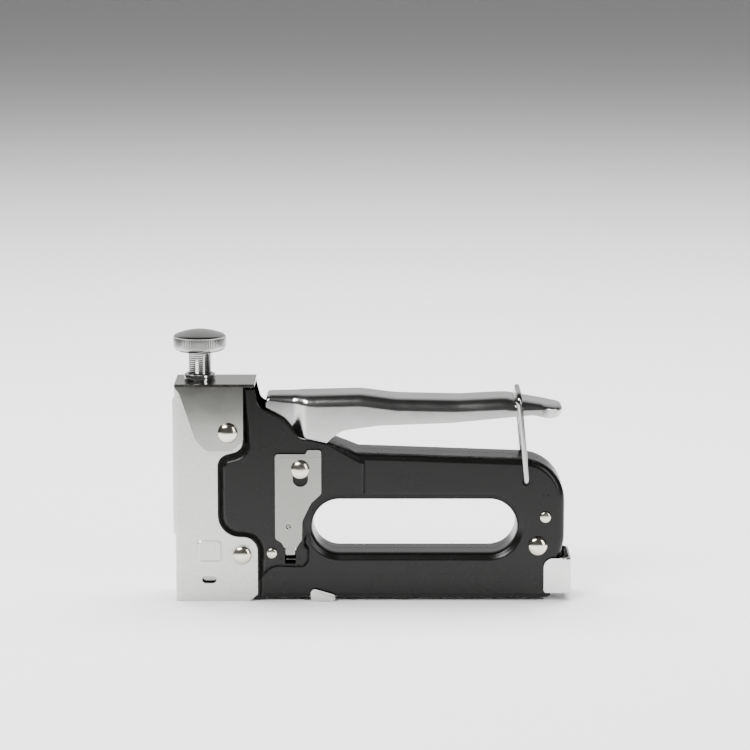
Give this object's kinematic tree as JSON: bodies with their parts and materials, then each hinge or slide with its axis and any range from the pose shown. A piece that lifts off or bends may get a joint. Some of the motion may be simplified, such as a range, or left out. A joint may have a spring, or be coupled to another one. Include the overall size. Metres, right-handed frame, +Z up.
{
  "type": "staple gun",
  "caption": "Hand staple gun with a squeeze lever, wire lock, spring-driven hammer, tension knob and a hinged magazine with a rear pusher.",
  "frame": {"origin": "middle of the outer box at the level of the nose and the magazine's underside", "axes": "+X from the nose to the rear, +Y across the gun to its right side as the user squeezes it, +Z up"},
  "size_m": [0.1518, 0.0298, 0.1033],
  "materials": {
    "black_paint": "gloss",
    "silver_plate": "matte",
    "satin_steel": "satin",
    "chrome": "polished",
    "nickel": "polished",
    "dark_steel": "satin"
  },
  "bodies": {
    "body": {"body_shell_left": "black_paint", "body_shell_right": "black_paint", "front_channel": "silver_plate", "top_cap": "satin_steel", "pivot_plate_left": "satin_steel", "pivot_plate_right": "satin_steel", "cap_rivet_left": "nickel", "cap_rivet_right": "nickel", "nose_rivet": "nickel", "front_small_rivet": "nickel", "rear_small_rivet": "nickel", "magazine_hinge_pin": "nickel", "lever_pivot_pin": "nickel", "threaded_bush": "chrome", "main_spring": "dark_steel", "lever_return_spring": "dark_steel", "front_spacer": "dark_steel", "rear_spacer": "dark_steel"},
    "lever": {"squeeze_lever": "chrome", "lifting_arm": "dark_steel"},
    "bail": {"lock_bail": "chrome"},
    "seat": {"spring_seat": "dark_steel"},
    "knob": {"tension_knob": "chrome", "tension_screw": "chrome"},
    "hammer": {"hammer": "dark_steel", "driver_blade": "satin_steel"},
    "magazine": {"magazine_channel": "satin_steel", "staple_rail": "satin_steel", "magazine_catch": "chrome"},
    "pusher": {"pusher_cap": "chrome", "guide_rod": "satin_steel", "pusher_spring": "satin_steel"},
    "follower": {"staple_follower": "dark_steel"}
  },
  "joints": [
    {"name": "lever_hinge", "type": "hinge", "parent": "body", "child": "lever", "pos_m": [-0.027, 0, 0.0516], "axis": [0, -1, 0], "range_deg": [0, 45]},
    {"name": "bail_swing", "type": "hinge", "parent": "body", "child": "bail", "pos_m": [0.0584, 0, 0.0462], "axis": [0, 1, 0], "range_deg": [0, 115]},
    {"name": "tension_lift", "type": "slide", "parent": "body", "child": "seat", "axis": [0, 0, 1], "range_m": [-0.00625, 0], "deforming": ["main_spring"]},
    {"name": "knob_turn", "type": "hinge", "parent": "seat", "child": "knob", "pos_m": [-0.0652, 0, 0.084], "axis": [0, 0, 1], "range_deg": [-1800, 0]},
    {"name": "hammer_lift", "type": "slide", "parent": "body", "child": "hammer", "axis": [0, 0, 1], "range_m": [0, 0.014], "stiffness_N_per_m": 200, "springref_m": -0.004, "deforming": ["main_spring"]},
    {"name": "magazine_hinge", "type": "hinge", "parent": "body", "child": "magazine", "pos_m": [0.063, 0, 0.02145], "axis": [0, -1, 0], "range_deg": [0, 25]},
    {"name": "pusher_slide", "type": "slide", "parent": "magazine", "child": "pusher", "axis": [1, 0, 0], "range_m": [0, 0.11]},
    {"name": "follower_slide", "type": "slide", "parent": "pusher", "child": "follower", "axis": [1, 0, 0], "range_m": [0, 0.055], "stiffness_N_per_m": 10, "springref_m": -0.01, "deforming": ["pusher_spring"]}
  ],
  "couplings": [
    {"joint": "tension_lift", "follows": "knob_turn", "m_per_rad": 0.00019894}
  ]
}
